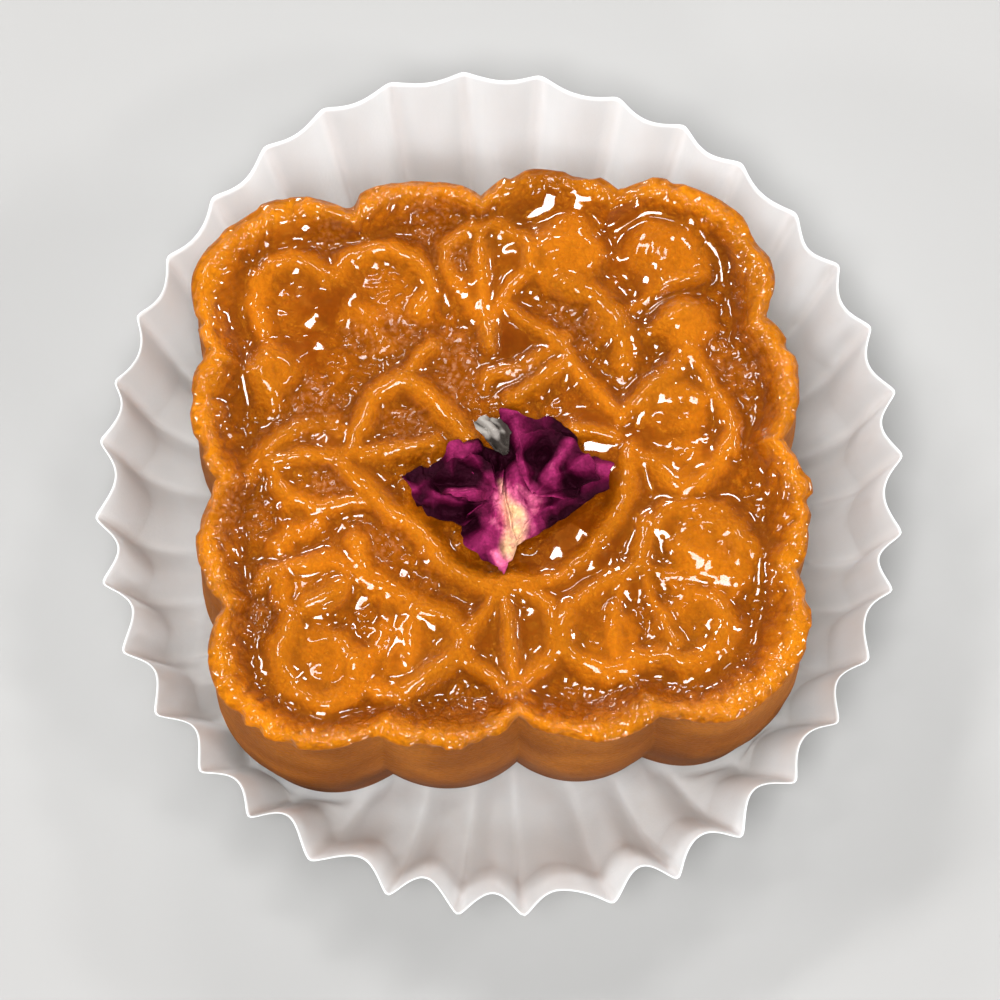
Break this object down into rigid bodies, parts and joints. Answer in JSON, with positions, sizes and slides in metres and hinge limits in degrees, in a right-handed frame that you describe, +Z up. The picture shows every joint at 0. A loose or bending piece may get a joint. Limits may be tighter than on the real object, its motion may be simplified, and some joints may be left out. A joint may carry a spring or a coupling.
{
  "type": "makroud",
  "caption": "Square moulded pastry with a lobed wall, a stamped wheel and flower relief and a shiny syrup glaze, in a fluted white paper case, topped with a torn dried rose.",
  "frame": {"origin": "the middle of the underside of the paper case, at the middle of the whole object's box", "axes": "+Z up through the pastry, out of its stamped top; +Y along the paper case's longer way, towards its back; +X to the right"},
  "size_m": [0.065, 0.0706, 0.025],
  "materials": {
    "glazed_crust": "baked semolina crust, orange brown, under a thin shiny syrup glaze that pools in the stamped hollows",
    "white_paper": "thin matt white baking paper, pleated",
    "dried_petal": "dry crinkled rose petal, dark purple with a pink and cream foot",
    "dried_sepal": "dry grey-green leaf scrap"
  },
  "bodies": {
    "root": {"makroud": "glazed_crust", "paper_case": "white_paper", "rose_petal_right": "dried_petal", "rose_petal_left": "dried_petal", "rose_petal_front": "dried_petal", "rose_sepal": "dried_sepal"}
  },
  "joints": []
}
